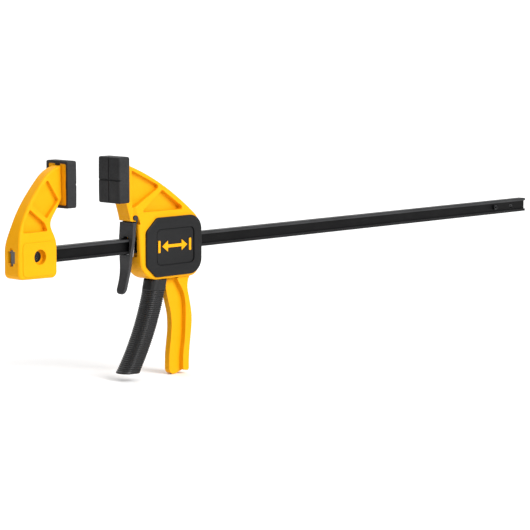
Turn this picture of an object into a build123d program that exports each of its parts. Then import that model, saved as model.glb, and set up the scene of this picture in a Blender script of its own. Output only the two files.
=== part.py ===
"""One-handed trigger bar clamp, built as separate pieces. Millimetres.

+X runs along the bar away from the fixed jaw, +Z points up to the pads, Y is across.
The origin is on the bar's axis, in the plane of the fixed pad's clamping face.
"""

from build123d import *
import os

os.makedirs("parts", exist_ok=True)

SIDE = Plane.XZ  # side view: local x is +X, local y is +Z, the normal is -Y
FRONT = Plane.YZ  # end view: local x is +Y, local y is +Z, the normal is +X

# Bar: an I section with one hole near each end and a stop pin near the free end
BAR_HEIGHT = 16.5
BAR_WIDTH = 11.0
BAR_WEB = 6.4
BAR_FLANGE = 3.0
BAR_START = -75.5
BAR_END = 777.3
BAR_HOLE_RADIUS = 3.0
BAR_HOLE_INSET = 26.4
STOP_PIN_X = 717.5
STOP_PIN_LENGTH = 12.6
STOP_PIN_BORE = 1.6
GUIDE_GAP = 0.2  # clearance between the bar and each guide hole

# Pads and the flanges that they cap
PAD_WIDTH = 34.5
PAD_HEIGHT = 50.5
PAD_DEPTH = 13.7
MOVING_PAD_DEPTH = 15.3
PAD_Z = 74.2
PAD_CORNER = 2.4
GROOVE_WIDTH = 1.8
GROOVE_DEPTH = 1.3
FLANGE_WIDTH = 28.4
FLANGE_HEIGHT = 44.4
FLANGE_DEPTH = 7.0
FLANGE_BACK = 1.2  # the flange's back lies this far inside the pad's rim
OPENING = 60.4  # distance between the pads at rest

# Fixed jaw
BLOCK_HALF = 12.2
PANEL_HALF = 13.0
ARM_WEB_HALF = 3.0  # half the thickness left between the arm's pockets
LOCK_X = BAR_START + BAR_HOLE_INSET
RECESS_RADIUS = 8.2
RECESS_FLOOR = 7.0  # distance of the recess floor from the mid-plane
LOCK_HEAD_RADIUS = 6.0
LOCK_SEAT = 5.8  # distance of the head's and the nut's inner face from the mid-plane
LOCK_THREAD_RADIUS = 2.0
LOCK_PROUD = 0.2  # the head and the nut stand this far above the recess floor
LOCK_BARREL_END = 2.8  # the screw's thick part ends this far past the mid-plane
LOCK_THREAD_END = 6.6
SPANNER_HOLE_RADIUS = 1.2
SPANNER_HOLE_OFFSET = 1.9

# Moving jaw body
BODY_HALF = 13.0
BODY_REAR = 185.5
BODY_FLOOR = -39.0
CAVITY_HALF = 9.3
SLOT_HALF = 10.9
WEB_HALF = 3.7  # half the thickness of the handle's front web
PALM_HALF = 9.6
JAW_WEB_HALF = 3.8  # half the thickness left between the moving arm's pockets
FIT = 0.03  # a pin's radius is this much under its hole's

# Trigger and drive
PIVOT = (128.0, 17.5)
PIVOT_RADIUS = 3.0
NOSE_RADIUS = 4.0
CHEEK_IN = 5.8
CHEEK_OUT = 9.0
TRIGGER_HALF = 10.6
PLATE_THICK = 3.2
PLATE_X = PIVOT[0] + NOSE_RADIUS + 0.05
SEAT_X = 163.0  # the rib that the drive spring pushes on
DRIVE_SPRING_Z = 13.8

# Release lever and brake
LEVER_PIVOT = (90.4, 31.4)
BEAD_RADIUS = 2.6
BRAKE_SPRING_Z = 20.0
BRAKE_SPRING_START = 90.6
BRAKE_SPRING_SEAT = 105.0
BRAKE_POCKET_RADIUS = 4.2

# Side covers
COVER_THICK = 2.5
PANEL_CENTRE = (146.2, -3.3)
PANEL_LONG = 57.5
PANEL_TALL = 41
PANEL_CORNER = 6.5
PANEL_SUNK = 0.8
PANEL_GROOVE = 1.4  # width of the groove round the panel
PANEL_GROOVE_DEPTH = 1.7
COVER_PEGS = ((107.5, 8), (107.5, -18), (181, 12), (181, -18))
PEG_RADIUS = 2.0
PEG_LENGTH = 4.0


def mirror_y(piece):
    """Return a copy of a finished piece on the other side of the mid-plane."""
    return mirror(piece, about=Plane.XZ)


def pad_flange(rim, facing):
    """Plate that a pad caps, with the notches that hold the pad on; rim is the X of the pad's open back."""
    with BuildPart() as flange:
        with BuildSketch(FRONT.offset(rim + facing * FLANGE_BACK)):
            with Locations((0, PAD_Z)):
                RectangleRounded(FLANGE_WIDTH, FLANGE_HEIGHT, 2.0)
            with Locations((0, PAD_Z + FLANGE_HEIGHT / 2)):
                Rectangle(8.4, 4.4, mode=Mode.SUBTRACT)
            with Locations((-FLANGE_WIDTH / 2, PAD_Z), (FLANGE_WIDTH / 2, PAD_Z)):
                Rectangle(3.0, 10.4, mode=Mode.SUBTRACT)
        extrude(amount=facing * FLANGE_DEPTH)
    return flange.part


def jaw_pad(rim, facing, depth):
    """Soft cap over a jaw's flange, with a cross of grooves in its face."""
    face_x = rim + facing * depth
    with BuildPart() as pad:
        with BuildSketch(FRONT.offset(rim)):
            with Locations((0, PAD_Z)):
                RectangleRounded(PAD_WIDTH, PAD_HEIGHT, PAD_CORNER)
        extrude(amount=facing * depth)
        face_edges = pad.edges().group_by(Axis.X)[-1 if facing > 0 else 0]
        fillet(face_edges, 1.6)
        with BuildSketch(FRONT.offset(rim)):
            with Locations((0, PAD_Z)):
                RectangleRounded(FLANGE_WIDTH, FLANGE_HEIGHT, 2.0)
        extrude(amount=facing * (FLANGE_BACK + FLANGE_DEPTH), mode=Mode.SUBTRACT)
        with BuildSketch(FRONT.offset(face_x)):
            with Locations((0, PAD_Z)):
                Rectangle(GROOVE_WIDTH, PAD_HEIGHT)
                Rectangle(PAD_WIDTH, GROOVE_WIDTH)
        extrude(amount=-facing * GROOVE_DEPTH, mode=Mode.SUBTRACT)
        # bumps that snap into the flange's notches
        with BuildSketch(FRONT.offset(rim + facing * FLANGE_BACK)):
            with Locations((-FLANGE_WIDTH / 2, PAD_Z), (FLANGE_WIDTH / 2, PAD_Z)):
                Rectangle(2.8, 10.0)
            with Locations((0, PAD_Z + FLANGE_HEIGHT / 2)):
                Rectangle(8.0, 4.2)
        extrude(amount=facing * FLANGE_DEPTH)
    return pad.part


def coil_spring(start, end, z, coil_radius, wire_radius, turns):
    """Compression spring with its axis along X."""
    pitch = (end - start - 2 * wire_radius) / turns
    with BuildPart() as spring:
        with BuildLine() as path:
            Helix(pitch, pitch * turns, coil_radius, center=(start + wire_radius, 0, z), direction=(1, 0, 0))
        with BuildSketch(Plane(path.line @ 0, z_dir=path.line % 0)):
            Circle(wire_radius)
        sweep(path=path.line)
    return spring.part


# ---------------------------------------------------------------- bar and its fastenings
with BuildPart() as bar:
    with BuildSketch(FRONT.offset(BAR_START)) as bar_section:
        Rectangle(BAR_WIDTH, BAR_HEIGHT)
        fillet(bar_section.vertices(), 0.8)
        channel = (BAR_WIDTH - BAR_WEB) / 2
        with Locations((-BAR_WIDTH / 2, 0), (BAR_WIDTH / 2, 0)):
            RectangleRounded(2 * channel, BAR_HEIGHT - 2 * BAR_FLANGE, 0.9, mode=Mode.SUBTRACT)
    extrude(amount=BAR_END - BAR_START)
    with BuildSketch(SIDE):
        with Locations((LOCK_X, 0), (STOP_PIN_X, 0), (BAR_END - BAR_HOLE_INSET, 0)):
            Circle(BAR_HOLE_RADIUS)
    extrude(amount=BAR_WIDTH, both=True, mode=Mode.SUBTRACT)

with BuildPart() as bar_stop_pin:
    with BuildSketch(SIDE):
        with Locations((STOP_PIN_X, 0)):
            Circle(BAR_HOLE_RADIUS - FIT)
            Circle(STOP_PIN_BORE, mode=Mode.SUBTRACT)
    extrude(amount=STOP_PIN_LENGTH / 2, both=True)
    chamfer(bar_stop_pin.edges().filter_by(GeomType.CIRCLE), 0.4)

# ---------------------------------------------------------------- fixed jaw
with BuildPart() as fixed_jaw:
    with BuildSketch(SIDE) as jaw_outline:
        with BuildLine():
            back = Line((-77.8, -12), (-77.8, 2))
            crown_places = [back @ 1, (-73.6, 27), (-60.6, 53.5), (-40.5, 78.5), (-17, 93.8)]
            crown = Spline(*crown_places, tangents=[(0, 1), (0.95, 0.3)])
            tip = Line(crown @ 1, (-12.5, 94.6))
            pad_side = Line(tip @ 1, (-12.5, 59.5))
            throat_places = [pad_side @ 1, (-23.0, 45), (-29.6, 33), (-26.0, 20), (-24.6, 10)]
            throat = Spline(*throat_places, tangents=[(-0.6, -0.8), (0, -1)])
            front = Line(throat @ 1, (-24.6, -23.6))
            bottom = Line(front @ 1, (-77.8, -22.6))
            Line(bottom @ 1, back @ 0)
        make_face()
        fillet(jaw_outline.vertices().sort_by(Axis.Y)[:2], 6.5)
    extrude(amount=BLOCK_HALF, both=True)
    # seen from the end, the arm is thinner than the block
    with BuildSketch(FRONT.offset(-90)):
        with BuildLine():
            wall = Line((BLOCK_HALF, -30), (BLOCK_HALF, 8))
            taper = Spline(wall @ 1, (9.4, 28), (8.2, 45), (6.5, 100), tangents=[(0, 1), (-0.02, 1)])
            Polyline(taper @ 1, (0, 100), (0, -30), wall @ 0)
        make_face()
        mirror(about=Plane.YZ)
    extrude(amount=90, mode=Mode.INTERSECT)
    rim = fixed_jaw.edges().filter_by(Axis.Y, reverse=True).filter_by(lambda e: abs((e @ 0.5).Y) > 5)
    fillet(rim, 2.2)
    # raised panel on each side of the block
    for side in (1, -1):
        with BuildSketch(SIDE.offset(side * (BLOCK_HALF - 1))):
            with Locations((-49.5, -2.2)):
                RectangleRounded(46, 36, 5.5)
        extrude(amount=side * (PANEL_HALF - BLOCK_HALF + 1))
    fillet(fixed_jaw.faces().filter_by(Axis.Y).group_by(Axis.Y)[0].edges(), 0.7)
    fillet(fixed_jaw.faces().filter_by(Axis.Y).group_by(Axis.Y)[-1].edges(), 0.7)
    # two pockets in each side of the arm, with a diagonal rib between them
    for side in (1, -1):
        with BuildSketch(SIDE.offset(side * ARM_WEB_HALF)) as pockets:
            with BuildLine():
                upper = ThreePointArc((-54.6, 54.2), (-46.4, 65.8), (-35.5, 77.0))
                Polyline(upper @ 1, (-32.8, 81.0), (-18.2, 58.4), (-35.4, 39.6), upper @ 0)
            make_face()
            with BuildLine():
                Polyline((-58.4, 50.8), (-38.6, 35.4), (-35.2, 26.2), (-69.6, 26.2))
                Polyline((-69.6, 26.2), (-67.0, 37.5), (-58.4, 50.8))
            make_face()
            fillet(pockets.vertices(), 1.8)
        extrude(amount=side * BLOCK_HALF, mode=Mode.SUBTRACT)
    add(pad_flange(-PAD_DEPTH, 1))
    # bar channel, and the cross-shaped window that shows the bar's end
    with BuildSketch(FRONT.offset(BAR_START - 0.1)):
        Rectangle(BAR_WIDTH + 2 * GUIDE_GAP, BAR_HEIGHT + 2 * GUIDE_GAP)
    extrude(amount=80, mode=Mode.SUBTRACT)
    with BuildSketch(FRONT.offset(-80)):
        with Locations((0, 0.9)):
            Rectangle(11.5, 12.7)
            Rectangle(5.7, 19.4)
    extrude(amount=80 + BAR_START + 0.1, mode=Mode.SUBTRACT)
    # recesses and bore for the lock screw and its barrel nut
    for side in (1, -1):
        with BuildSketch(SIDE.offset(side * RECESS_FLOOR)):
            with Locations((LOCK_X, 0)):
                Circle(RECESS_RADIUS)
        extrude(amount=side * BLOCK_HALF, mode=Mode.SUBTRACT)
    with BuildSketch(SIDE):
        with Locations((LOCK_X, 0)):
            Circle(LOCK_HEAD_RADIUS + FIT)
    extrude(amount=BLOCK_HALF, both=True, mode=Mode.SUBTRACT)

with BuildPart() as jaw_lock_screw:
    with BuildSketch(SIDE.offset(LOCK_SEAT)):
        with Locations((LOCK_X, 0)):
            Circle(LOCK_HEAD_RADIUS)
    extrude(amount=RECESS_FLOOR + LOCK_PROUD - LOCK_SEAT)
    chamfer(jaw_lock_screw.edges().group_by(Axis.Y)[0], 0.4)
    with BuildSketch(SIDE.offset(LOCK_SEAT)):
        with Locations((LOCK_X, 0)):
            Circle(BAR_HOLE_RADIUS - FIT)
    extrude(amount=-(LOCK_SEAT + LOCK_BARREL_END))
    with BuildSketch(SIDE):
        with Locations((LOCK_X, 0)):
            Circle(LOCK_THREAD_RADIUS)
    extrude(amount=-LOCK_THREAD_END)
    # two spanner holes, one above the other
    with BuildSketch(SIDE.offset(RECESS_FLOOR + LOCK_PROUD)):
        with Locations((LOCK_X, SPANNER_HOLE_OFFSET), (LOCK_X, -SPANNER_HOLE_OFFSET)):
            Circle(SPANNER_HOLE_RADIUS)
    extrude(amount=-1.0, mode=Mode.SUBTRACT)

with BuildPart() as jaw_barrel_nut:
    with BuildSketch(SIDE.offset(-LOCK_SEAT)):
        with Locations((LOCK_X, 0)):
            Circle(LOCK_HEAD_RADIUS)
    extrude(amount=-(RECESS_FLOOR + LOCK_PROUD - LOCK_SEAT))
    chamfer(jaw_barrel_nut.edges().group_by(Axis.Y)[-1], 0.4)
    with BuildSketch(SIDE):
        with Locations((LOCK_X, 0)):
            Circle(LOCK_THREAD_RADIUS + FIT)
    extrude(amount=-BLOCK_HALF, mode=Mode.SUBTRACT)

fixed_pad = jaw_pad(-PAD_DEPTH, 1, PAD_DEPTH)
moving_pad = jaw_pad(OPENING + MOVING_PAD_DEPTH, -1, MOVING_PAD_DEPTH)

# ---------------------------------------------------------------- moving jaw body
with BuildPart() as moving_jaw:
    with BuildSketch(SIDE) as body_outline:
        with BuildLine():
            flange_x = OPENING + MOVING_PAD_DEPTH - FLANGE_BACK
            crest = ThreePointArc((flange_x, 92.4), (133.8, 65.1), (180.0, 30.4))
            shoulder = Spline(crest @ 1, (BODY_REAR, 14), tangents=[crest % 1, (0, -1)])
            rear = Line(shoulder @ 1, (BODY_REAR, BODY_FLOOR))
            floor = Line(rear @ 1, (124, BODY_FLOOR))
            chin_places = [floor @ 1, (106.6, -34.4), (98.4, -26.0), (95.6, -15)]
            chin = Spline(*chin_places, tangents=[(-1, 0), (-0.07, 1)])
            breast = Line(chin @ 1, (92.6, 27.2))
            Polyline(breast @ 1, (84.2, 28.0), (82.6, 34.5), (76.4, 53.4), (flange_x, 53.4), crest @ 0)
        make_face()
        fillet(body_outline.vertices().filter_by_position(Axis.Y, -60, -35).sort_by(Axis.X)[-1], 14)
    extrude(amount=BODY_HALF, both=True)
    # seen from the end, the arm thins towards the pad
    with BuildSketch(FRONT):
        with BuildLine():
            wall = Line((BODY_HALF, -60), (BODY_HALF, 18))
            taper = Spline(wall @ 1, (11.3, 38), (9.5, 58), (8.2, 96), tangents=[(0, 1), (-0.02, 1)])
            Polyline(taper @ 1, (0, 96), (0, -60), wall @ 0)
        make_face()
        mirror(about=Plane.YZ)
    extrude(amount=200, mode=Mode.INTERSECT)
    rim = moving_jaw.edges().filter_by(Axis.Y, reverse=True).filter_by(lambda e: abs((e @ 0.5).Y) > 6)
    fillet(rim.filter_by(lambda e: (e @ 0.5).X > 90), 2.4)
    # seen from above, the nose narrows forward
    for side in (1, -1):
        with BuildSketch(Plane.XY.offset(22)):
            with BuildLine():
                near = 9.2 * side
                far = 14 * side
                Polyline((70, near), (88, near), (96, far), (70, far), (70, near))
            make_face()
        extrude(amount=32, mode=Mode.SUBTRACT)
    # two pockets in each side of the arm, with a diagonal rib between them
    for side in (1, -1):
        with BuildSketch(SIDE.offset(side * JAW_WEB_HALF)) as pockets:
            with BuildLine():
                Polyline((86.5, 84.0), (129.5, 63.9), (86.5, 41.8), (86.5, 84.0))
            make_face()
            with BuildLine():
                Polyline((131.8, 60.0), (165.5, 36.4), (98.0, 36.9), (131.8, 60.0))
            make_face()
            fillet(pockets.vertices().filter_by_position(Axis.X, 120, 135), 3.0)
            fillet(pockets.vertices().filter_by_position(Axis.X, 150, 170), 2.5)
            fillet(pockets.vertices().filter_by_position(Axis.X, 80, 100), 1.4)
        extrude(amount=side * BODY_HALF, mode=Mode.SUBTRACT)
    # handle: a thin web in front and a wide palm rib behind it
    with BuildSketch(SIDE):
        with BuildLine():
            web_places = [(141.6, -34), (141.8, -50), (149.8, -82), (148.6, -114), (146.6, -141)]
            web_front = Spline(*web_places, tangents=[(0, -1), (0, -1)])
            web_foot = Spline(web_front @ 1, (150, -147.6), (168, -144.6), tangents=[(0, -1), (1, 0.3)])
            Polyline(web_foot @ 1, (172, -100), (171, -34), web_front @ 0)
        make_face()
    extrude(amount=WEB_HALF, both=True)
    with BuildSketch(SIDE):
        with BuildLine():
            palm_places = [(152.0, -36), (162.6, -55.0), (166.6, -83.5), (164.6, -114), (162.4, -141.0)]
            palm_front = Spline(*palm_places, tangents=[(0.3, -1), (0, -1)])
            palm_foot = Spline(palm_front @ 1, (166.5, -145.2), (171.3, -142.0), tangents=[(0, -1), (0, 1)])
            back_places = [palm_foot @ 1, (173.2, -114), (175.9, -84.5), (171.2, -60)]
            back_places += [(169.8, -47), (176, -36)]
            palm_back = Spline(*back_places, tangents=[(0, 1), (1, 0.5)])
            Line(palm_back @ 1, palm_front @ 0)
        make_face()
    extrude(amount=PALM_HALF, both=True)
    # mechanism cavity, open below for the trigger
    with BuildSketch(SIDE):
        with Locations((145.5, -2.75)):
            RectangleRounded(65, 54.5, 3)
    extrude(amount=CAVITY_HALF, both=True, mode=Mode.SUBTRACT)
    for side in (1, -1):
        with BuildSketch(SIDE.offset(side * 4.7)):
            with BuildLine():
                Polyline(
                    (113.6, -42), (113.6, -27), (160, -27), (164, -33), (152, -42), (113.6, -42),
                )
            make_face()
        extrude(amount=side * (SLOT_HALF - 4.7), mode=Mode.SUBTRACT)
    with BuildSketch(SIDE):
        with BuildLine():
            Polyline((113.6, -42), (113.6, -27), (141.6, -27), (141.6, -42), (113.6, -42))
        make_face()
    extrude(amount=4.8, both=True, mode=Mode.SUBTRACT)
    # rib that the drive spring pushes on
    with BuildSketch(FRONT.offset(SEAT_X)):
        with Locations((0, 17)):
            Rectangle(2 * CAVITY_HALF + 1, 16)
    extrude(amount=4)
    # notch in the nose that the lever's bead hooks into
    with BuildSketch(SIDE):
        with Locations(LEVER_PIVOT):
            Circle(BEAD_RADIUS + 0.4)
        with BuildLine():
            Polyline((89.6, 24), (90.8, 29.6), (93.2, 31.6), (94.6, 28.8), (95.6, 24), (89.6, 24))
        make_face()
    extrude(amount=BODY_HALF + 1, both=True, mode=Mode.SUBTRACT)
    # guide holes for the bar
    with BuildSketch(FRONT.offset(90)):
        Rectangle(BAR_WIDTH + 2 * GUIDE_GAP, BAR_HEIGHT + 2 * GUIDE_GAP)
    extrude(amount=100, mode=Mode.SUBTRACT)
    # pocket for the brake spring, and the room that the brake plate swings in
    with BuildSketch(FRONT.offset(90)):
        with Locations((0, BRAKE_SPRING_Z)):
            Circle(BRAKE_POCKET_RADIUS)
    extrude(amount=BRAKE_SPRING_SEAT - 90, mode=Mode.SUBTRACT)
    with BuildSketch(FRONT.offset(90)):
        with BuildLine():
            Polyline((-7.3, -12.4), (7.3, -12.4), (8.9, 14.6), (-8.9, 14.6), (-7.3, -12.4))
        make_face()
    extrude(amount=8.5, mode=Mode.SUBTRACT)
    # holes for the pivot pin and the covers' pegs
    with BuildSketch(SIDE):
        with Locations(PIVOT):
            Circle(PIVOT_RADIUS)
    extrude(amount=BODY_HALF, both=True, mode=Mode.SUBTRACT)
    for side in (1, -1):
        with BuildSketch(SIDE.offset(side * (BODY_HALF - PEG_LENGTH - 0.2))):
            with Locations(*COVER_PEGS):
                Circle(PEG_RADIUS + FIT)
        extrude(amount=side * 6, mode=Mode.SUBTRACT)
    add(pad_flange(OPENING + MOVING_PAD_DEPTH, -1))

with BuildPart() as trigger_pin:
    with BuildSketch(SIDE):
        with Locations(PIVOT):
            Circle(PIVOT_RADIUS - FIT)
    extrude(amount=BODY_HALF - 0.1, both=True)
    chamfer(trigger_pin.edges().filter_by(GeomType.CIRCLE), 0.5)

# ---------------------------------------------------------------- side covers and their marks
with BuildPart() as right_cover:
    with BuildSketch(SIDE.offset(BODY_HALF)) as cover_outline:
        with BuildLine():
            Polyline((102.5, -23), (117, -36), (186.5, -36), (186.5, 29.8))
            Polyline((186.5, 29.8), (119, 29.8), (102.5, 15.5), (102.5, -23))
        make_face()
        fillet(cover_outline.vertices().filter_by_position(Axis.X, 180, 190), 17)
        fillet(cover_outline.vertices().filter_by_position(Axis.X, 100, 125), 7)
    extrude(amount=COVER_THICK)
    fillet(right_cover.faces().sort_by(Axis.Y)[0].edges(), 1.1)
    with BuildSketch(SIDE.offset(BODY_HALF + COVER_THICK)):
        with Locations(PANEL_CENTRE):
            RectangleRounded(PANEL_LONG, PANEL_TALL, PANEL_CORNER)
    extrude(amount=-PANEL_SUNK, mode=Mode.SUBTRACT)
    with BuildSketch(SIDE.offset(BODY_HALF + COVER_THICK)):
        inner_long = PANEL_LONG - 2 * PANEL_GROOVE
        inner_tall = PANEL_TALL - 2 * PANEL_GROOVE
        with Locations(PANEL_CENTRE):
            RectangleRounded(PANEL_LONG, PANEL_TALL, PANEL_CORNER)
            RectangleRounded(inner_long, inner_tall, PANEL_CORNER - PANEL_GROOVE, mode=Mode.SUBTRACT)
    extrude(amount=-PANEL_GROOVE_DEPTH, mode=Mode.SUBTRACT)
    with BuildSketch(SIDE.offset(BODY_HALF)):
        with Locations(*COVER_PEGS):
            Circle(PEG_RADIUS)
    extrude(amount=-PEG_LENGTH)

with BuildPart() as right_mark:
    with BuildSketch(SIDE.offset(BODY_HALF + COVER_THICK - PANEL_SUNK)):
        with Locations((145, -2.5)):
            RectangleRounded(30, 3.4, 0.8)
        with Locations((121.5, -2.5), (168.5, -2.5)):
            RectangleRounded(3.2, 13.5, 0.8)
        with BuildLine():
            Polyline((126.0, -2.5), (134.5, 3.6), (134.5, -8.6), (126.0, -2.5))
        make_face()
        with BuildLine():
            Polyline((164.0, -2.5), (155.5, 3.6), (155.5, -8.6), (164.0, -2.5))
        make_face()
    extrude(amount=0.5)

# ---------------------------------------------------------------- trigger
FRONT_ARC = [(116.6, -39.4), (100.9, -90), (73.4, -140.2)]
REAR_ARC = [(137.4, -39.4), (120.9, -92), (95.0, -141.0)]
SKIN = 1.7  # thickness of the soft grip
CORE_WALL = 3.4
CORE_CORNER = 6.6
GRIP_CORNER = 8.6
CORE_FLOOR = -137.8
CHANNEL_HALF = 6.8


def shifted(points, step):
    """Edge points of the trigger moved along X."""
    return [(x + step, z) for x, z in points]


def is_front_edge(edge):
    """True for the two long edges at the front of a trigger block."""
    middle = edge @ 0.5
    return middle.X < 112 and -120 < middle.Z < -60 and abs(middle.Y) > 5


def trigger_block(half_width, front_step, rear_step, corner):
    """Curved bar with the trigger's side outline and rounded front edges."""
    with BuildPart() as block:
        with BuildSketch(SIDE):
            with BuildLine():
                block_front = ThreePointArc(*shifted(FRONT_ARC, front_step))
                block_rear = ThreePointArc(*shifted(REAR_ARC, rear_step))
                Line(block_front @ 0, block_rear @ 0)
                Line(block_front @ 1, block_rear @ 1)
            make_face()
        extrude(amount=half_width, both=True)
        fillet(block.edges().filter_by(is_front_edge), corner)
    return block.part


core_block = trigger_block(CHEEK_OUT, SKIN, -0.6, CORE_CORNER)

with BuildPart() as trigger:
    add(core_block)
    split(bisect_by=Plane.XY.offset(CORE_FLOOR), keep=Keep.TOP)
    # cheeks that run up past the bar to the pivot
    with BuildSketch(SIDE):
        with BuildLine():
            Polyline(
                (122.9, 16.0), (117.6, -4.0), (117.2, -28.0), (120.1, -39.4), (138.4, -39.4), (134.6, -34.0),
                (127.4, -20.0), (126.6, -4.0), (131.6, 0.0), (128.6, 5.0), (132.6, 14.8), (122.9, 16.0),
            )
        make_face()
        with Locations(PIVOT):
            Circle(5.4)
        with Locations((PIVOT[0], 0)):
            Circle(NOSE_RADIUS)
    extrude(amount=CHEEK_OUT, both=True)
    # channel that takes in the handle's web and clears the bar
    with BuildSketch(SIDE):
        with BuildLine():
            inner_front = ThreePointArc(*shifted(FRONT_ARC, SKIN + CORE_WALL))
            Polyline(inner_front @ 1, (150, -140.2), (150, -24), (122.5, -24), inner_front @ 0)
        make_face()
    extrude(amount=CHANNEL_HALF, both=True, mode=Mode.SUBTRACT)
    with BuildSketch(SIDE):
        with Locations((127, 3)):
            Rectangle(40, 54)
    extrude(amount=CHEEK_IN, both=True, mode=Mode.SUBTRACT)
    with BuildSketch(SIDE):
        with Locations(PIVOT):
            Circle(PIVOT_RADIUS + FIT)
    extrude(amount=CHEEK_OUT, both=True, mode=Mode.SUBTRACT)

with BuildPart() as grip_hollow:
    add(core_block)
    with BuildSketch(SIDE):
        with BuildLine():
            hollow_front = ThreePointArc(*shifted(REAR_ARC, -3))
            Polyline(hollow_front @ 1, (150, -142.2), (150, -38), hollow_front @ 0)
        make_face()
    extrude(amount=CHEEK_OUT, both=True)
    split(bisect_by=Plane.XY.offset(CORE_FLOOR), keep=Keep.TOP)

with BuildPart() as trigger_grip:
    add(trigger_block(TRIGGER_HALF, 0, 0, GRIP_CORNER))
    add(grip_hollow.part, mode=Mode.SUBTRACT)

# ---------------------------------------------------------------- drive plates and springs
with BuildPart() as front_drive_plate:
    with BuildSketch(FRONT.offset(PLATE_X)):
        with Locations((0, -0.5)):
            RectangleRounded(17.2, 24.0, 2.0)
        with Locations((0, 14)):
            RectangleRounded(10.4, 10.0, 1.5)
        Rectangle(BAR_WIDTH + 0.4, BAR_HEIGHT + 0.4, mode=Mode.SUBTRACT)
    extrude(amount=PLATE_THICK)

with BuildPart() as rear_drive_plate:
    add(front_drive_plate.part.moved(Location((PLATE_THICK, 0, 0))))

drive_spring = coil_spring(PLATE_X + 2 * PLATE_THICK, SEAT_X, DRIVE_SPRING_Z, 3.7, 0.55, 8)
brake_spring = coil_spring(BRAKE_SPRING_START, BRAKE_SPRING_SEAT, BRAKE_SPRING_Z, 3.2, 0.5, 5)

# ---------------------------------------------------------------- release lever and its brake plate
with BuildPart() as release_lever:
    with BuildSketch(SIDE):
        with BuildLine():
            front_places = [(86.6, 26.2), (85.3, 10), (83.4, -12), (82.3, -28), (79.3, -40), (76.0, -50.4)]
            lever_front = Spline(*front_places)
            lever_tip = ThreePointArc(lever_front @ 1, (77.4, -52.4), (79.4, -51.6))
            rear_places = [lever_tip @ 1, (82.8, -40.6), (85.9, -28), (87.2, -12), (89.3, 10), (90.6, 24)]
            lever_rear = Spline(*rear_places)
            Polyline(lever_rear @ 1, (93.0, 28.6), (92.4, 31.4), (90.4, 31.4))
            Polyline((90.4, 31.4), (91.4, 28.8), (90.6, 26.2), lever_front @ 0)
        make_face()
        with Locations(LEVER_PIVOT):
            Circle(BEAD_RADIUS)
    extrude(amount=11, both=True)
    with BuildSketch(FRONT):
        with BuildLine():
            edge = Spline((11, 10), (8.5, -12), (7.0, -28), (6.3, -38), tangents=[(0, -1), (0, -1)])
            tip_round = ThreePointArc((6.3, -44.5), (4.5, -50.6), (0, -53))
            Polyline((0, 40), (11, 40), edge @ 0)
            Line(edge @ 1, tip_round @ 0)
            Line(tip_round @ 1, (0, 40))
        make_face()
        mirror(about=Plane.YZ)
    extrude(amount=200, mode=Mode.INTERSECT)
    # window for the bar, arched at the top
    with BuildSketch(FRONT):
        with Locations((0, -0.4)):
            RectangleRounded(12.6, 18.8, 0.8)
        with Locations((0, 8.0)):
            SlotOverall(9.0, 5.6)
    extrude(amount=200, mode=Mode.SUBTRACT)

BRAKE_PLANE = Plane(origin=(88.7, 0, 0.2), x_dir=(0, 1, 0), z_dir=(1, 0, -0.087))
with BuildPart() as brake_plate:
    with BuildSketch(BRAKE_PLANE):
        with BuildLine():
            Polyline((-6.6, -11.6), (6.6, -11.6), (8.2, 13.2), (-8.2, 13.2), (-6.6, -11.6))
        make_face()
        Rectangle(BAR_WIDTH + 0.5, BAR_HEIGHT + 1.5, mode=Mode.SUBTRACT)
    extrude(amount=2.5)

# ---------------------------------------------------------------- labels and files
PIECES = {
    "bar": bar.part,
    "bar_stop_pin": bar_stop_pin.part,
    "fixed_jaw": fixed_jaw.part,
    "fixed_pad": fixed_pad,
    "jaw_lock_screw": jaw_lock_screw.part,
    "jaw_barrel_nut": jaw_barrel_nut.part,
    "moving_jaw": moving_jaw.part,
    "moving_pad": moving_pad,
    "trigger_pin": trigger_pin.part,
    "right_cover": right_cover.part,
    "left_cover": mirror_y(right_cover.part),
    "right_mark": right_mark.part,
    "left_mark": mirror_y(right_mark.part),
    "trigger": trigger.part,
    "trigger_grip": trigger_grip.part,
    "front_drive_plate": front_drive_plate.part,
    "rear_drive_plate": rear_drive_plate.part,
    "drive_spring": drive_spring,
    "brake_spring": brake_spring,
    "release_lever": release_lever.part,
    "brake_plate": brake_plate.part,
}
for name, piece in PIECES.items():
    piece.label = name
    export_step(piece, f"parts/{name}.step")
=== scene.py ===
"""Looks of the one-handed trigger bar clamp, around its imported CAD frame. Metres, in the CAD's own axes.

+X runs along the bar away from the fixed jaw, +Z points up to the pads, Y is across.
"""

import math

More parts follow.
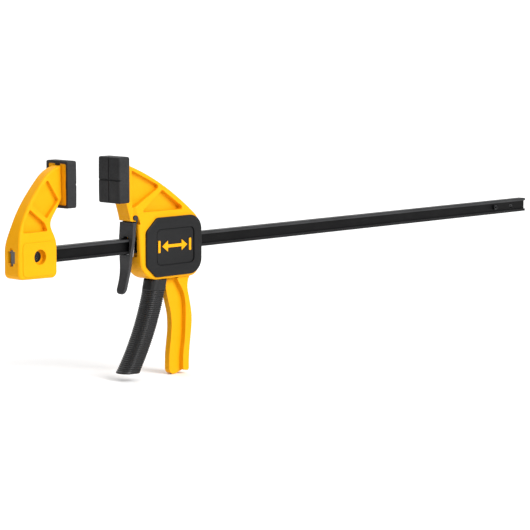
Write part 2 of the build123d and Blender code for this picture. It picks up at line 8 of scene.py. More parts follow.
import bmesh
import bpy
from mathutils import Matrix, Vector


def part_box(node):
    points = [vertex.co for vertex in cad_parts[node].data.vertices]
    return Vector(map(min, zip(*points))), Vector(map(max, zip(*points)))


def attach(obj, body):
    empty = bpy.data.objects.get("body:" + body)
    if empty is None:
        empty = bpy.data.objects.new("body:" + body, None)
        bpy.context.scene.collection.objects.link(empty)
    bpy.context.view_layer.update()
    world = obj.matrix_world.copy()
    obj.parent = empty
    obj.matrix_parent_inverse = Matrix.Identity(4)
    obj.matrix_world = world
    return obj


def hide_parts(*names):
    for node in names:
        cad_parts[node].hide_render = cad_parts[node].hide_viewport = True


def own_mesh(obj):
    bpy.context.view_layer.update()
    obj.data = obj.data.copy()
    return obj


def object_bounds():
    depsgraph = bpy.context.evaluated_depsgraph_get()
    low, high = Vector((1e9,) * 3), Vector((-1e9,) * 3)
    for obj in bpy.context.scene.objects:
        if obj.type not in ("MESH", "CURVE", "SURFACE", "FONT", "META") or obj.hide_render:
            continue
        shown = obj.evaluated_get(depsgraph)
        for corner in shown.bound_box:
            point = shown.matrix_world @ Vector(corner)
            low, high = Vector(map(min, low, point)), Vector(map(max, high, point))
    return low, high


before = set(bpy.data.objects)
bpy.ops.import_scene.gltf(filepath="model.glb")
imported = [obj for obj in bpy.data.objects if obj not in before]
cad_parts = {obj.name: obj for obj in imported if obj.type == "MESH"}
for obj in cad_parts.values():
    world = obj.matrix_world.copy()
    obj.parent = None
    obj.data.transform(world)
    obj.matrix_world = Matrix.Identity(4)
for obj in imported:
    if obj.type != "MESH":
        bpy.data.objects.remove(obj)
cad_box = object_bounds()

MM = 0.001
PADS = (("fixed_pad", 1, "bar_frame"), ("moving_pad", -1, "jaw_carriage"))  # node, way it faces, body
EDGE_REACH = 0.0007  # how far wear reaches in from an edge
FLANGE_FACE = (0.0046, 0.0052)  # the bar's flange faces begin this far from its mid-plane

# ---------------------------------------------------------------- materials


class Surface:
    """A Principled material built up from procedural patterns in the piece's own coordinates."""

    def __init__(self, name, roughness, metallic=0.0, specular=0.5):
        self.material = bpy.data.materials.new(name)
        self.material.use_nodes = True
        self.tree = self.material.node_tree
        self.shader = self.tree.nodes["Principled BSDF"]
        self.shader.inputs["Roughness"].default_value = roughness
        self.shader.inputs["Metallic"].default_value = metallic
        self.shader.inputs["Specular IOR Level"].default_value = specular
        self.place = self.tree.nodes.new("ShaderNodeTexCoord").outputs["Object"]
        self.heights = []

    def node(self, kind, **settings):
        made = self.tree.nodes.new(kind)
        for key, value in settings.items():
            setattr(made, key, value)
        return made

    def link(self, start, end):
        self.tree.links.new(start, end)

    def stretched(self, scale):
        """The piece's coordinates, scaled apart along each axis."""
        mapping = self.node("ShaderNodeMapping")
        mapping.inputs["Scale"].default_value = scale
        self.link(self.place, mapping.inputs["Vector"])
        return mapping.outputs["Vector"]

    def noise(self, scale, detail=3.0, roughness=0.5, stretch=(1, 1, 1)):
        made = self.node("ShaderNodeTexNoise")
        made.inputs["Scale"].default_value = scale
        made.inputs["Detail"].default_value = detail
        made.inputs["Roughness"].default_value = roughness
        self.link(self.stretched(stretch), made.inputs["Vector"])
        return made.outputs["Fac"]

    def cells(self, scale):
        made = self.node("ShaderNodeTexVoronoi")
        made.inputs["Scale"].default_value = scale
        self.link(self.place, made.inputs["Vector"])
        return made.outputs["Distance"]

    def band(self, value, low, high, to_low=0.0, to_high=1.0):
        """value from low..high onto to_low..to_high, smoothly."""
        made = self.node("ShaderNodeMapRange", interpolation_type="SMOOTHSTEP")
        made.inputs["From Min"].default_value = low
        made.inputs["From Max"].default_value = high
        made.inputs["To Min"].default_value = to_low
        made.inputs["To Max"].default_value = to_high
        self.link(value, made.inputs["Value"])
        return made.outputs["Result"]

    def sums(self, operation, first, second):
        """One Math node; first and second are numbers or other nodes' outputs."""
        made = self.node("ShaderNodeMath", operation=operation)
        for socket, value in zip(made.inputs, (first, second)):
            if isinstance(value, (int, float)):
                socket.default_value = value
            else:
                self.link(value, socket)
        return made.outputs["Value"]

    def colours(self, factor, first, second):
        """Mixes two colours, each a tuple or another node's output."""
        made = self.node("ShaderNodeMix", data_type="RGBA")
        self.link(factor, made.inputs["Factor"])
        for socket, value in ((made.inputs[6], first), (made.inputs[7], second)):
            if isinstance(value, tuple):
                socket.default_value = (*value, 1)
            else:
                self.link(value, socket)
        return made.outputs[2]

    def edges(self, radius, low, high):
        """1 on convex edges and corners of about that radius, 0 on open faces."""
        bevel = self.node("ShaderNodeBevel", samples=6)
        bevel.inputs["Radius"].default_value = radius
        flat = self.node("ShaderNodeNewGeometry")
        dot = self.node("ShaderNodeVectorMath", operation="DOT_PRODUCT")
        self.link(bevel.outputs["Normal"], dot.inputs[0])
        self.link(flat.outputs["Normal"], dot.inputs[1])
        return self.band(dot.outputs["Value"], high, low)

    def colour(self, value):
        self.link(value, self.shader.inputs["Base Color"])

    def roughness(self, value):
        self.link(value, self.shader.inputs["Roughness"])

    def raise_by(self, height, depth):
        """Adds a bump layer of that depth in metres."""
        self.heights.append((height, depth))

    def done(self):
        """Chains the bump layers and returns the material."""
        normal = None
        for height, depth in self.heights:
            bump = self.node("ShaderNodeBump")
            bump.inputs["Strength"].default_value = 1.0
            bump.inputs["Distance"].default_value = depth
            self.link(height, bump.inputs["Height"])
            if normal is not None:
                self.link(normal, bump.inputs["Normal"])
            normal = bump.outputs["Normal"]
        if normal is not None:
            self.link(normal, self.shader.inputs["Normal"])
        return self.material


def moulded(name, dark, light, edge, rough, specular):
    """Moulded nylon: faint flow streaks, fine spark-eroded grain, a little polish on the edges."""
    grain = 0.00004
    s = Surface(name, rough[0], specular=specular)
    cloud = s.noise(14, 4.0, 0.55)
    flow = s.noise(60, 4.0, 0.6, stretch=(0.35, 1, 1.6))
    mix = s.sums("ADD", s.sums("MULTIPLY", cloud, 0.5), s.sums("MULTIPLY", flow, 0.5))
    body = s.colours(s.band(mix, 0.3, 0.7), dark, light)
    speck = s.noise(2600, 1.0)
    body = s.colours(s.band(speck, 0.60, 0.78, 0.0, 0.35), body, edge)
    patches = s.band(s.noise(160, 4.0), 0.35, 0.75, 0.15, 0.8)
    worn = s.sums("MULTIPLY", s.edges(EDGE_REACH, 0.80, 0.97), patches)
    s.colour(s.colours(worn, body, edge))
    polish = s.sums("ADD", s.noise(900, 2.0), s.noise(35, 3.0))
    s.roughness(s.band(polish, 0.7, 1.3, *rough))
    s.raise_by(s.cells(1700), grain)
    s.raise_by(s.noise(3200, 2.0), grain)
    return s.done()


def rubber(name, dark, light, dust, rough, grain=0.00005, specular=0.3):
    """Matte moulded rubber with fine pebble grain and dust on the raised edges."""
    s = Surface(name, rough[0], specular=specular)
    cloud = s.noise(45, 5.0, 0.6)
    body = s.colours(s.band(cloud, 0.3, 0.7), dark, light)
    patches = s.band(s.noise(240, 4.0), 0.3, 0.7, 0.2, 0.9)
    worn = s.sums("MULTIPLY", s.edges(0.0008, 0.75, 0.96), patches)
    s.colour(s.colours(worn, body, dust))
    s.roughness(s.band(s.noise(500, 3.0), 0.3, 0.7, *rough))
    s.raise_by(s.cells(2100), grain)
    s.raise_by(s.noise(1100, 3.0), grain * 0.8)
    return s.done()


def steel(name, dark, light, rough, stretch, metallic=1.0, edge=None):
    """Metal with drawing or grinding lines along the axis that stretch makes smallest."""
    s = Surface(name, rough[0], metallic=metallic)
    lines = s.noise(900, 3.0, 0.6, stretch=stretch)
    body = s.colours(s.band(lines, 0.3, 0.7), dark, light)
    # edge lightens convex edges as wear through to bare metal; on the blackened steel the light rims are also
    # a painted highlight
    if edge is not None:
        body = s.colours(s.edges(0.0006, 0.80, 0.97), body, edge)
    s.colour(body)
    s.roughness(s.band(s.sums("ADD", lines, s.noise(30, 4.0)), 0.7, 1.3, *rough))
    s.raise_by(lines, 0.00001)
    return s.done()


def powder_coat(name, dark, light, edge, rough):
    """Black coat on a rolled bar: orange peel, long scuffs, flange side faces polished by the jaws and made
    lighter on the upper flange as a painted highlight, sawn ends.
    """
    s = Surface(name, rough[0], specular=0.12)
    cloud = s.noise(25, 5.0, 0.6)
    scuff = s.noise(520, 3.0, 0.7, stretch=(0.02, 1, 1))
    body = s.colours(s.band(cloud, 0.3, 0.7), dark, light)
    body = s.colours(s.band(scuff, 0.62, 0.80, 0.0, 0.5), body, edge)
    across = s.node("ShaderNodeSeparateXYZ")
    s.link(s.place, across.inputs["Vector"])
    # flange side faces lightened: part polish from the jaws, part painted highlight (see below)
    polish_and_sheen = s.band(s.sums("ABSOLUTE", across.outputs["Y"], 0.0), *FLANGE_FACE)
    facing = s.node("ShaderNodeSeparateXYZ")
    normal = s.node("ShaderNodeNewGeometry")
    s.link(normal.outputs["Normal"], facing.inputs["Vector"])
    upright = s.band(s.sums("ABSOLUTE", facing.outputs["Z"], 0.0), 0.25, 0.6, 1.0, 0.0)
    # painted highlight: the upper flange's side faces are made lighter than the lower flange's, as if lit
    # from above
    painted_top_sheen = s.band(across.outputs["Z"], -0.001, 0.001, 0.25, 1.0)
    polish_and_sheen = s.sums("MULTIPLY", s.sums("MULTIPLY", polish_and_sheen, upright), painted_top_sheen)
    polish_and_sheen = s.sums("MULTIPLY", polish_and_sheen, s.band(cloud, 0.2, 0.8, 0.55, 1.0))
    body = s.colours(polish_and_sheen, body, edge)
    endways = s.band(s.sums("ABSOLUTE", facing.outputs["X"], 0.0), 0.7, 0.9)
    body = s.colours(endways, body, SAWN_END)
    s.colour(s.colours(s.sums("MULTIPLY", s.edges(EDGE_REACH, 0.80, 0.97), 0.3), body, edge))
    s.roughness(s.band(s.sums("ADD", scuff, s.noise(60, 3.0)), 0.7, 1.3, *rough))
    s.raise_by(s.noise(1300, 2.0), 0.00002)
    s.raise_by(scuff, 0.000006)
    return s.done()


SAWN_END = (0.13, 0.13, 0.135)
YELLOW = moulded(
    "yellow_nylon", dark=(0.80, 0.348, 0.002), light=(0.84, 0.368, 0.004), edge=(0.94, 0.44, 0.010),
    rough=(0.42, 0.54), specular=0.08,
)
BLACK = moulded(
    "black_nylon", dark=(0.0065, 0.0067, 0.0072), light=(0.0105, 0.0106, 0.0112), edge=(0.032, 0.032, 0.034),
    rough=(0.42, 0.54), specular=0.2,
)
GREY = moulded(
    "grey_nylon", dark=(0.024, 0.024, 0.0255), light=(0.036, 0.036, 0.038), edge=(0.075, 0.075, 0.078),
    rough=(0.36, 0.48), specular=0.3,
)
PAD = rubber(
    "pad_rubber", dark=(0.014, 0.014, 0.0148), light=(0.021, 0.021, 0.022), dust=(0.05, 0.05, 0.051),
    rough=(0.60, 0.75),
)
GRIP = rubber(
    "grip_rubber", dark=(0.004, 0.004, 0.0043), light=(0.007, 0.007, 0.0074), dust=(0.026, 0.026, 0.027),
    rough=(0.36, 0.44), grain=0.00002, specular=0.42,
)
BAR = powder_coat(
    "black_steel", dark=(0.0012, 0.0012, 0.0014), light=(0.003, 0.003, 0.0033), edge=(0.045, 0.045, 0.047),
    rough=(0.36, 0.50),
)
# blackened steel: its light edge colour is partly worn oxide, partly a painted highlight on the rims of the
# screw's holes
OXIDE = steel(
    "blackened_steel", dark=(0.006, 0.006, 0.0066), light=(0.014, 0.014, 0.015), rough=(0.34, 0.48),
    stretch=(1, 1, 1), metallic=0.6, edge=(0.22, 0.22, 0.23),
)
PLATE = steel(
    "plate_steel", dark=(0.46, 0.46, 0.48), light=(0.60, 0.60, 0.62), rough=(0.28, 0.42),
    stretch=(1, 0.06, 1), edge=(0.75, 0.75, 0.77),
)
WIRE = steel(
    "spring_steel", dark=(0.40, 0.40, 0.42), light=(0.56, 0.56, 0.58), rough=(0.25, 0.4), stretch=(0.2, 1, 1),
)
MARK = moulded(
    "mark_yellow", dark=(0.80, 0.35, 0.002), light=(0.84, 0.37, 0.004), edge=(0.94, 0.45, 0.010),
    rough=(0.36, 0.48), specular=0.10,
)

NODE_LOOKS = {
    "bar": BAR,
    "bar_stop_pin": OXIDE,
    "fixed_jaw": YELLOW,
    "jaw_lock_screw": OXIDE,
    "jaw_barrel_nut": OXIDE,
    "moving_jaw": YELLOW,
    "trigger_pin": PLATE,
    "right_cover": BLACK,
    "left_cover": BLACK,
    "right_mark": MARK,
    "left_mark": MARK,
    "trigger": BLACK,
    "front_drive_plate": PLATE,
    "rear_drive_plate": PLATE,
    "drive_spring": WIRE,
    "brake_spring": WIRE,
    "release_lever": GREY,
    "brake_plate": PLATE,
    "fixed_pad": PAD,
    "moving_pad": PAD,
    "trigger_grip": GRIP,
}
for node, look in NODE_LOOKS.items():
    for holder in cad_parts[node].material_slots:
        holder.material = look

# ---------------------------------------------------------------- mesh helpers


def new_piece(name, corners, faces, look):
    """A smooth-shaded mesh piece from its corners, in millimetres, and faces."""
    mesh = bpy.data.meshes.new(name)
    mesh.from_pydata([(x * MM, y * MM, z * MM) for x, y, z in corners], [], faces)
    mesh.validate()
    mesh.update()
    mesh.materials.append(look)
    shape = bmesh.new()
    shape.from_mesh(mesh)
    bmesh.ops.recalc_face_normals(shape, faces=shape.faces)
    for face in shape.faces:
        face.smooth = True
    shape.to_mesh(mesh)
    shape.free()
    piece = bpy.data.objects.new(name, mesh)
    bpy.context.scene.collection.objects.link(piece)
    return piece


# ---------------------------------------------------------------- clamping pads
PAD_HALF_Y = 17.25
PAD_HALF_Z = 25.25
PAD_CORNER = 2.4
PAD_ROUND = 1.8  # radius of the edge round the clamping face
PAD_CROWN = 0.5  # the face stands this much higher in the middle than at its corners
PAD_STEP = 1.9  # about how far apart the grid lines are on the open face
GROOVE_HALF = 0.95
GROOVE_DEPTH = 1.5
NOTCH = 0.5  # how far the groove's ends cut into the pad's sides, as a share of the groove's depth
NOTCH_DEPTH = 2.6
NOTCH_LOWER = 0.8  # share of the notch that is left at that depth
ON_OUTLINE = 0.05
RIM = 1.0  # a point this near the outline counts as on the rim
HOLLOW_HALF_Y = 14.2
HOLLOW_HALF_Z = 22.2
HOLLOW_DEPTH = 8.2
HOLLOW_CORNER = 2.0
# tabs in the flange's notches, two at the sides and one at the top: y, z from the middle, width, height
TABS = ((-13.6, 0, 2.4, 10.0), (13.6, 0, 2.4, 10.0), (0, 21.7, 8.0, 3.0))
TAB_LONG = 6.6
TAB_SUNK = 4.5  # distance of a tab's middle from the pad's open back
TAB_ROUND = 0.6


def pad_lines(half):
    """Grid lines across a pad: close together at the groove and at the rounded edge."""
    inner = [0.0, 0.45, 0.62, 0.78, 0.95, 1.15, 1.45, 2.2]
    rounded = [half - PAD_ROUND * step for step in (1.0, 0.72, 0.48, 0.27, 0.12, 0.03, 0.0)]
    open_span = rounded[0] - inner[-1]
    count = max(2, round(open_span / PAD_STEP))
    middle = [inner[-1] + open_span * k / count for k in range(1, count)]
    side = inner + middle + rounded
    return [-v for v in reversed(side[1:])] + side


def onto_outline(y, z, half_y, half_z, corner):
    """Moves a point of a square grid so that the grid's corners are round."""
    a = (abs(y) - (half_y - corner)) / corner
    b = (abs(z) - (half_z - corner)) / corner
    if a <= 0 or b <= 0:
        return y, z
    new_a = a * math.sqrt(1 - b * b / 2)
    new_b = b * math.sqrt(1 - a * a / 2)
    return (
        math.copysign(half_y - corner + corner * new_a, y),
        math.copysign(half_z - corner + corner * new_b, z),
    )


def inside_by(y, z, half_y, half_z, corner):
    """Distance from a point to the rounded outline around it."""
    a = abs(y) - (half_y - corner)
    b = abs(z) - (half_z - corner)
    if a > 0 and b > 0:
        return corner - math.hypot(a, b)
    return corner - max(a, b)


def groove_at(offset):
    """Depth of a groove with rounded shoulders and floor, at that distance from its centre line."""
    floor_end, brink, shoulder_end, brink_depth = 0.62, 1.0, 1.25, 0.06
    reach = abs(offset) / GROOVE_HALF
    if reach >= shoulder_end:
        return 0.0
    if reach >= brink:
        return GROOVE_DEPTH * brink_depth * (shoulder_end - reach) / (shoulder_end - brink)
    rise = max(0.0, (reach - floor_end) / (brink - floor_end))
    return GROOVE_DEPTH * (1 - rise**2 * (1 - brink_depth))


def notched(y, z, share):
    """Moves a point on the pad's rim inwards where a groove runs out through it."""
    if abs(y) > PAD_HALF_Y - RIM:
        y -= math.copysign(groove_at(z) * NOTCH * share, y)
    if abs(z) > PAD_HALF_Z - RIM:
        z -= math.copysign(groove_at(y) * NOTCH * share, z)
    return y, z


def pad_piece(node, facing, body):
    """Soft cap with a crowned, cross-grooved face, an open back and the tabs that hold it on its flange.

    facing is 1 when its face looks towards +X and -1 when it looks towards -X.
    """
    low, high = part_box(node)
    front = (high[0] if facing > 0 else low[0]) / MM
    depth_all = (high[0] - low[0]) / MM
    middle_z = (low[2] + high[2]) / 2 / MM
    lines_y = pad_lines(PAD_HALF_Y)
    lines_z = pad_lines(PAD_HALF_Z)
    corners = []
    faces = []
    index = {}
    for j, z0 in enumerate(lines_z):
        for i, y0 in enumerate(lines_y):
            y, z = onto_outline(y0, z0, PAD_HALF_Y, PAD_HALF_Z, PAD_CORNER)
            edge = max(0.0, inside_by(y, z, PAD_HALF_Y, PAD_HALF_Z, PAD_CORNER))
            drop = 0.0
            if edge < PAD_ROUND:
                drop = PAD_ROUND - math.sqrt(max(0.0, PAD_ROUND**2 - (PAD_ROUND - edge) ** 2))
            crown = PAD_CROWN * (0.5 * (y / PAD_HALF_Y) ** 2 + 0.5 * (z / PAD_HALF_Z) ** 2)
            cut = max(groove_at(y), groove_at(z))
            if edge < ON_OUTLINE:
                y, z = notched(y, z, 1.0)
            index[i, j] = len(corners)
            corners.append((front - facing * (max(drop, cut) + crown), y, middle_z + z))
    for j in range(len(lines_z) - 1):
        for i in range(len(lines_y) - 1):
            faces.append((index[i, j], index[i + 1, j], index[i + 1, j + 1], index[i, j + 1]))
    last_i = len(lines_y) - 1
    last_j = len(lines_z) - 1
    border = [(i, 0) for i in range(last_i)] + [(last_i, j) for j in range(last_j)]
    border += [(i, last_j) for i in range(last_i, 0, -1)] + [(0, j) for j in range(last_j, 0, -1)]
    around = len(border)

    def ring(half_y, half_z, corner, depth, inset):
        """Adds a ring of corners at a depth behind the face, on an outline inset from the given one."""
        start = len(corners)
        for i, j in border:
            y0 = lines_y[i] / PAD_HALF_Y * (half_y - inset)
            z0 = lines_z[j] / PAD_HALF_Z * (half_z - inset)
            y, z = onto_outline(y0, z0, half_y - inset, half_z - inset, corner)
            if depth == NOTCH_DEPTH:
                y, z = notched(y, z, NOTCH_LOWER)
            corners.append((front - facing * depth, y, middle_z + z))
        return list(range(start, start + around))

    def join(first, second):
        for k in range(around):
            n = (k + 1) % around
            faces.append((first[k], first[n], second[n], second[k]))

    outer = (PAD_HALF_Y, PAD_HALF_Z, PAD_CORNER)
    hollow = (HOLLOW_HALF_Y, HOLLOW_HALF_Z, HOLLOW_CORNER)
    rings = [[index[key] for key in border]]
    # down the sides, round the edges of the open back, and up inside the hollow
    for depth, inset in (
        (NOTCH_DEPTH, 0.0), (NOTCH_DEPTH + 0.5, 0.0), (6.0, 0.0),
        (depth_all - 0.7, 0.0), (depth_all - 0.2, 0.15), (depth_all, 0.6),
    ):
        rings.append(ring(*outer, depth, inset))
    for depth, inset in (
        (depth_all, -0.5), (depth_all - 0.15, -0.1), (depth_all - 0.6, 0.0), (depth_all - HOLLOW_DEPTH, 0.0),
    ):
        rings.append(ring(*hollow, depth, inset))
    for first, second in zip(rings, rings[1:]):
        join(first, second)
    # floor of the hollow, on the same grid
    floor_index = {}
    for key, corner in zip(border, rings[-1]):
        floor_index[key] = corner
    for j in range(1, last_j):
        for i in range(1, last_i):
            y0 = lines_y[i] / PAD_HALF_Y * HOLLOW_HALF_Y
            z0 = lines_z[j] / PAD_HALF_Z * HOLLOW_HALF_Z
            y, z = onto_outline(y0, z0, *hollow)
            floor_index[i, j] = len(corners)
            corners.append((front - facing * (depth_all - HOLLOW_DEPTH), y, middle_z + z))
    for j in range(last_j):
        for i in range(last_i):
            around_cell = ((i, j), (i, j + 1), (i + 1, j + 1), (i + 1, j))
            faces.append([floor_index[key] for key in around_cell])
    tab_x = front - facing * (depth_all - TAB_SUNK)
    for y, z, wide, tall in TABS:
        rounded_block(corners, faces, (tab_x, y, middle_z + z), (TAB_LONG, wide, tall), TAB_ROUND)
    piece = new_piece(f"{node}_rubber", corners, faces, PAD)
    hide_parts(node)
    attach(piece, body)


def rounded_block(corners, faces, centre, sizes, radius):
    """Adds a block with rounded edges, centred on a point, to a mesh's lists."""
    cut = radius * 0.3
    edge_pull, corner_pull = 0.18, 0.35  # how far edges and corners draw in, as shares of the radius
    steps_of = []
    for size in sizes:
        half = size / 2
        steps_of.append([-half, -half + cut, -half + radius, half - radius, half - cut, half])
    last = len(steps_of[0]) - 1
    index = {}

    def corner_at(*key):
        if key not in index:
            place = [steps[n] for steps, n in zip(steps_of, key)]
            ends = [min(n, last - n) for n in key]
            if 0 in ends:
                near = sum(1 for n in ends if n <= 1)
                pull = radius * (0.0, 0.0, edge_pull, corner_pull)[near]
                place = [v - math.copysign(pull, v) if n <= 1 else v for v, n in zip(place, ends)]
            index[key] = len(corners)
            corners.append(tuple(c + v for c, v in zip(centre, place)))
        return index[key]

    for a in range(last):
        for b in range(last):
            for end in (0, last):
                for axis in range(3):
                    cell = []
                    for u, v in ((a, b), (a + 1, b), (a + 1, b + 1), (a, b + 1)):
                        key = [u, v]
                        key.insert(axis, end)
                        cell.append(corner_at(*key))
                    faces.append(cell)


for pad_node, pad_facing, pad_body in PADS:
    pad_piece(pad_node, pad_facing, pad_body)

# ---------------------------------------------------------------- trigger grip
# x and z at the top, middle and tip of the front and rear arcs, in the plane y = 0
GRIP_FRONT = ((116.6, -39.4), (100.9, -90.0), (73.4, -140.2))
GRIP_REAR = ((137.4, -39.4), (120.9, -92.0), (95.0, -141.0))
GRIP_LENGTH = 110.1  # along the front arc
GRIP_HALF = 10.6
GRIP_CORNER = 8.6
GRIP_BACK_CORNER = 0.9
ROW_STEP = 1.6  # spacing of the rows above the ribs
CORE_HALF = 9.02
CORE_SKIN = 1.68  # thickness of the rubber in front of the core
CORE_CORNER = 6.6
CORE_BACK_CORNER = 0.5
CORE_STARTS = -0.02  # the core's cut starts a little above the grip, in shares of its length
CORE_STEPS = 40
CORE_PAST = 12  # the core's cut reaches this far past the grip's open back
RIB_PITCH = 2.35
RIB_HEIGHT = 0.8
RIB_POWER = 0.7  # below 1 makes the ribs broad and the valleys narrow
RIB_STEPS = (0.0, 0.06, 0.16, 0.32, 0.5, 0.68, 0.84, 0.94)
TOP_ROUND = 0.6
TIP_ROUND = 1.2
PLAIN_TIP = 3.0  # the ribs stop at least this far above the tip
RIBS_FROM = 12.5  # and start this far below the top


def circle_through(a, b, c):
    """Centre and radius of the circle through three points."""
    (ax, ay), (bx, by), (cx, cy) = a, b, c
    d = 2 * (ax * (by - cy) + bx * (cy - ay) + cx * (ay - by))
    ux = ((ax**2 + ay**2) * (by - cy) + (bx**2 + by**2) * (cy - ay) + (cx**2 + cy**2) * (ay - by)) / d
    uy = ((ax**2 + ay**2) * (cx - bx) + (bx**2 + by**2) * (ax - cx) + (cx**2 + cy**2) * (bx - ax)) / d
    return ux, uy, math.hypot(ax - ux, ay - uy)


def arc_point(points, t):
    """Point at t, 0 to 1 and a little beyond, along the arc through three points."""
    ux, uy, radius = circle_through(*points)
    start = math.atan2(points[0][1] - uy, points[0][0] - ux)
    end = math.atan2(points[2][1] - uy, points[2][0] - ux)
    turn = (end - start + math.pi) % (2 * math.pi) - math.pi
    angle = start + turn * t
    return ux + radius * math.cos(angle), uy + radius * math.sin(angle)


def corner_arc(cx, cy, radius, start, end, count):
    """Points of a rounded corner, angles in degrees."""
    made = []
    for k in range(count + 1):
        angle = math.radians(start + (end - start) * k / count)
        made.append((cx + radius * math.cos(angle), cy + radius * math.sin(angle)))
    return made


def grip_profile(depth, half, corner, back, shrink=0.0):
    """Closed outline across the grip: s is the distance behind the front, y is across."""
    front_s = shrink
    rear_s = depth - shrink
    half = half - shrink
    corner = max(0.5, corner - shrink * 0.5)
    outline = corner_arc(rear_s - back, half - back, back, 0, 90, 3)
    outline += [(front_s + corner + (rear_s - back - front_s - corner) * k / 5, half) for k in (4, 3, 2, 1)]
    outline += corner_arc(front_s + corner, half - corner, corner, 90, 180, 8)
    outline += [(front_s, (half - corner) * k / 3) for k in (1, -1)]
    outline += corner_arc(front_s + corner, -half + corner, corner, 180, 270, 8)
    outline += [(front_s + corner + (rear_s - back - front_s - corner) * k / 5, -half) for k in (1, 2, 3, 4)]
    outline += corner_arc(rear_s - back, -half + back, back, 270, 360, 3)
    return outline


def swept(rows, name):
    """Closed rubber piece from rows of (t, profile), each set across the grip at t along its arcs."""
    corners = []
    for t, profile in rows:
        fx, fz = arc_point(GRIP_FRONT, t)
        rx, rz = arc_point(GRIP_REAR, t)
        reach = math.hypot(rx - fx, rz - fz)
        dx, dz = (rx - fx) / reach, (rz - fz) / reach
        for s, y in profile:
            corners.append((fx + dx * s, y, fz + dz * s))
    around = len(rows[0][1])
    faces = []
    for r in range(len(rows) - 1):
        for k in range(around):
            n = (k + 1) % around
            faces.append((r * around + k, r * around + n, (r + 1) * around + n, (r + 1) * around + k))
    faces.append(list(range(around)))
    faces.append(list(range((len(rows) - 1) * around, len(rows) * around)))
    return new_piece(name, corners, faces, GRIP)


def grip_depth(t):
    """Distance between the front and rear arcs at t."""
    fx, fz = arc_point(GRIP_FRONT, t)
    rx, rz = arc_point(GRIP_REAR, t)
    return math.hypot(rx - fx, rz - fz)


def grip_piece():
    """Ribbed soft grip round the trigger's front and sides, hollow where the trigger's core fills it."""
    rows = []
    places = [0.0, 0.25, TOP_ROUND, 1.2]
    while places[-1] < RIBS_FROM - 1.2:
        places.append(places[-1] + ROW_STEP)
    distance = RIBS_FROM
    ribs_end = GRIP_LENGTH - PLAIN_TIP
    while distance + RIB_PITCH <= ribs_end:
        places += [distance + RIB_PITCH * step for step in RIB_STEPS]
        distance += RIB_PITCH
    places += [distance] + [GRIP_LENGTH - TIP_ROUND * step for step in (1.0, 0.65, 0.35, 0.12, 0.0)]
    for place in sorted(set(round(p, 4) for p in places)):
        t = place / GRIP_LENGTH
        shrink = 0.0
        if place < TOP_ROUND:
            shrink = 0.5 * (1 - place / TOP_ROUND) ** 2
        left = GRIP_LENGTH - place
        if left < TIP_ROUND:
            shrink = TIP_ROUND - math.sqrt(max(0.0, TIP_ROUND**2 - (TIP_ROUND - left) ** 2))
            shrink = min(shrink, TIP_ROUND * 0.8)
        phase = (place - RIBS_FROM) / RIB_PITCH
        if 0 <= phase and place <= distance:
            shrink += RIB_HEIGHT * (1 - math.sin(math.pi * (phase % 1.0)) ** RIB_POWER)
        rows.append((t, grip_profile(grip_depth(t), GRIP_HALF, GRIP_CORNER, GRIP_BACK_CORNER, shrink)))
    piece = swept(rows, "trigger_grip_rubber")
    core_rows = []
    for k in range(CORE_STEPS + 1):
        t = CORE_STARTS + k / CORE_STEPS
        profile = []
        for s, y in grip_profile(grip_depth(t) + CORE_PAST, CORE_HALF, CORE_CORNER, CORE_BACK_CORNER):
            profile.append((s + CORE_SKIN, y))
        core_rows.append((t, profile))
    core = swept(core_rows, "grip_core_cut")
    cutter = piece.modifiers.new("core", "BOOLEAN")
    cutter.operation = "DIFFERENCE"
    cutter.solver = "EXACT"
    cutter.object = core
    bpy.context.view_layer.update()
    done = bpy.data.meshes.new_from_object(piece.evaluated_get(bpy.context.evaluated_depsgraph_get()))
    piece.modifiers.clear()
    piece.data = done
    bpy.data.objects.remove(core)
    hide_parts("trigger_grip")
    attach(piece, "squeeze_trigger")


grip_piece()

# ---------------------------------------------------------------- springs
STEPS_A_TURN = 24
WIRE_SIDES = 10


def spring_piece(node, wire, turns):
    """Coil with closed ends, its seat at +X, made at its rest length and carried by the jaw carriage."""
    low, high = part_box(node)
    start = low[0] / MM + wire
    span = (high[0] - low[0]) / MM - 2 * wire
    coil = (high[1] - low[1]) / 2 / MM - wire
    middle_z = (low[2] + high[2]) / 2 / MM
    closed = 2.06 * wire  # how far a closed end turn advances
    open_pitch = (span - 2 * closed) / (turns - 2)
    corners = []
    faces = []
    count = turns * STEPS_A_TURN
    for k in range(count + 1):
        turn = k / STEPS_A_TURN
        along = closed * (min(turn, 1) + max(turn - turns + 1, 0))
        along += open_pitch * min(max(turn - 1, 0), turns - 2)
        angle = 2 * math.pi * turn
        for side in range(WIRE_SIDES):
            tilt = 2 * math.pi * side / WIRE_SIDES
            reach = coil + wire * math.cos(tilt)
            x = start + along + wire * math.sin(tilt)
            corners.append((x, reach * math.cos(angle), middle_z + reach * math.sin(angle)))
    for k in range(count):
        for side in range(WIRE_SIDES):
            n = (side + 1) % WIRE_SIDES
            a = k * WIRE_SIDES
            b = a + WIRE_SIDES
            faces.append((a + side, a + n, b + n, b + side))
    faces.append(list(range(WIRE_SIDES)))
    faces.append(list(range(count * WIRE_SIDES, (count + 1) * WIRE_SIDES)))
    piece = new_piece(f"{node}_coil", corners, faces, WIRE)
    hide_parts(node)
    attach(piece, "jaw_carriage")
    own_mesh(piece)


spring_piece("drive_spring", wire=0.55, turns=8)
spring_piece("brake_spring", wire=0.5, turns=5)

# ---------------------------------------------------------------- floor, light and camera
FLOOR_GAP = 0.0003  # keeps the floor just clear of the lowest point
FLOOR_Z = cad_box[0][2] - FLOOR_GAP
FLOOR_REACH = 80.0

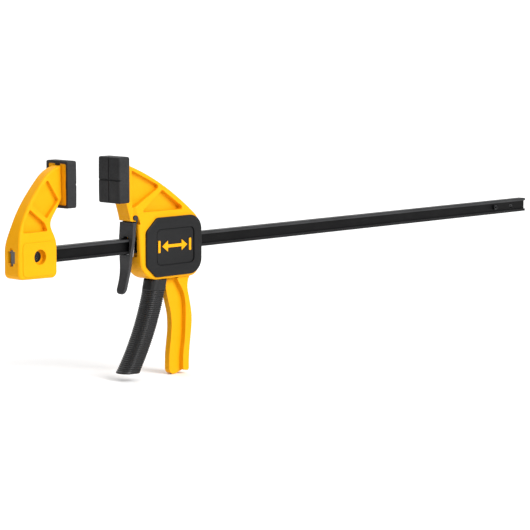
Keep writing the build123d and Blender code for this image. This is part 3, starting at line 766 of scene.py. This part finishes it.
floor_mesh = bpy.data.meshes.new("floor")
floor_corners = [(x * FLOOR_REACH, y * FLOOR_REACH, FLOOR_Z) for x, y in ((-1, -1), (1, -1), (1, 1), (-1, 1))]
floor_mesh.from_pydata(floor_corners, [], [(0, 1, 2, 3)])
floor = bpy.data.objects.new("floor", floor_mesh)
bpy.context.scene.collection.objects.link(floor)
ground = Surface("pale_floor", 0.85, specular=0.2)
ground.colour(ground.colours(ground.noise(3, 3.0), (0.90, 0.90, 0.90), (0.92, 0.92, 0.92)))
floor_mesh.materials.append(ground.done())

# light from all round, brighter towards overhead
HORIZON_LIGHT = 0.07
OVERHEAD_LIGHT = 0.70
BACKDROP = (0.97, 0.97, 0.97, 1.0)  # the camera sees this above the floor's horizon, in place of the light
world = bpy.data.worlds.new("studio")
bpy.context.scene.world = world
world.use_nodes = True
sky = world.node_tree
background = sky.nodes["Background"]
background.inputs["Strength"].default_value = 1.0
# the ramp follows how steeply a direction points up
direction = sky.nodes.new("ShaderNodeTexCoord")
height = sky.nodes.new("ShaderNodeSeparateXYZ")
ramp = sky.nodes.new("ShaderNodeMapRange")
ramp.interpolation_type = "SMOOTHSTEP"
ramp.inputs["From Min"].default_value = 0.05
ramp.inputs["From Max"].default_value = 0.75
ramp.inputs["To Min"].default_value = HORIZON_LIGHT
ramp.inputs["To Max"].default_value = OVERHEAD_LIGHT
sky.links.new(direction.outputs["Generated"], height.inputs["Vector"])
sky.links.new(height.outputs["Z"], ramp.inputs["Value"])
sky.links.new(ramp.outputs["Result"], background.inputs["Color"])
backdrop = sky.nodes.new("ShaderNodeBackground")
backdrop.inputs["Color"].default_value = BACKDROP
seen = sky.nodes.new("ShaderNodeLightPath")
either = sky.nodes.new("ShaderNodeMixShader")
sky.links.new(seen.outputs["Is Camera Ray"], either.inputs["Fac"])
sky.links.new(background.outputs["Background"], either.inputs[1])
sky.links.new(backdrop.outputs["Background"], either.inputs[2])
sky.links.new(either.outputs["Shader"], sky.nodes["World Output"].inputs["Surface"])


def sun(name, towards, strength, angle):
    """Soft sun shining along a direction; angle is how wide it looks, in degrees."""
    data = bpy.data.lights.new(name, "SUN")
    data.energy = strength
    data.angle = math.radians(angle)
    lamp = bpy.data.objects.new(name, data)
    lamp.rotation_euler = Vector(towards).to_track_quat("-Z", "Y").to_euler()
    bpy.context.scene.collection.objects.link(lamp)


sun("key", (-0.12, 0.84, -0.53), 3.15, 40)
sun("top", (0.2, 0.1, -1.0), 0.45, 60)
sun("back", (-0.35, -0.75, -0.55), 1.0, 60)
sun("left_fill", (0.80, 0.55, -0.25), 0.16, 10)

# beyond the fixed jaw, out on the -Y side and a little above the bar
CAMERA_AT = (-1.79629, -2.04381, 0.30606)
CAMERA_TURN = 45.775  # degrees from +Y towards +X
CAMERA_DOWN = 6.717
SENSOR = 36.0  # millimetres, like the lens
LENS = 173.23
camera_data = bpy.data.cameras.new("camera")
camera_data.sensor_width = SENSOR
camera_data.lens = LENS
camera_data.clip_end = 300.0
camera = bpy.data.objects.new("camera", camera_data)
camera.location = CAMERA_AT
turn = math.radians(CAMERA_TURN)
down = math.radians(CAMERA_DOWN)
ahead = Vector((math.sin(turn) * math.cos(down), math.cos(turn) * math.cos(down), -math.sin(down)))
camera.rotation_euler = ahead.to_track_quat("-Z", "Y").to_euler()
bpy.context.scene.collection.objects.link(camera)
bpy.context.scene.camera = camera
bpy.context.scene.view_settings.view_transform = "Standard"
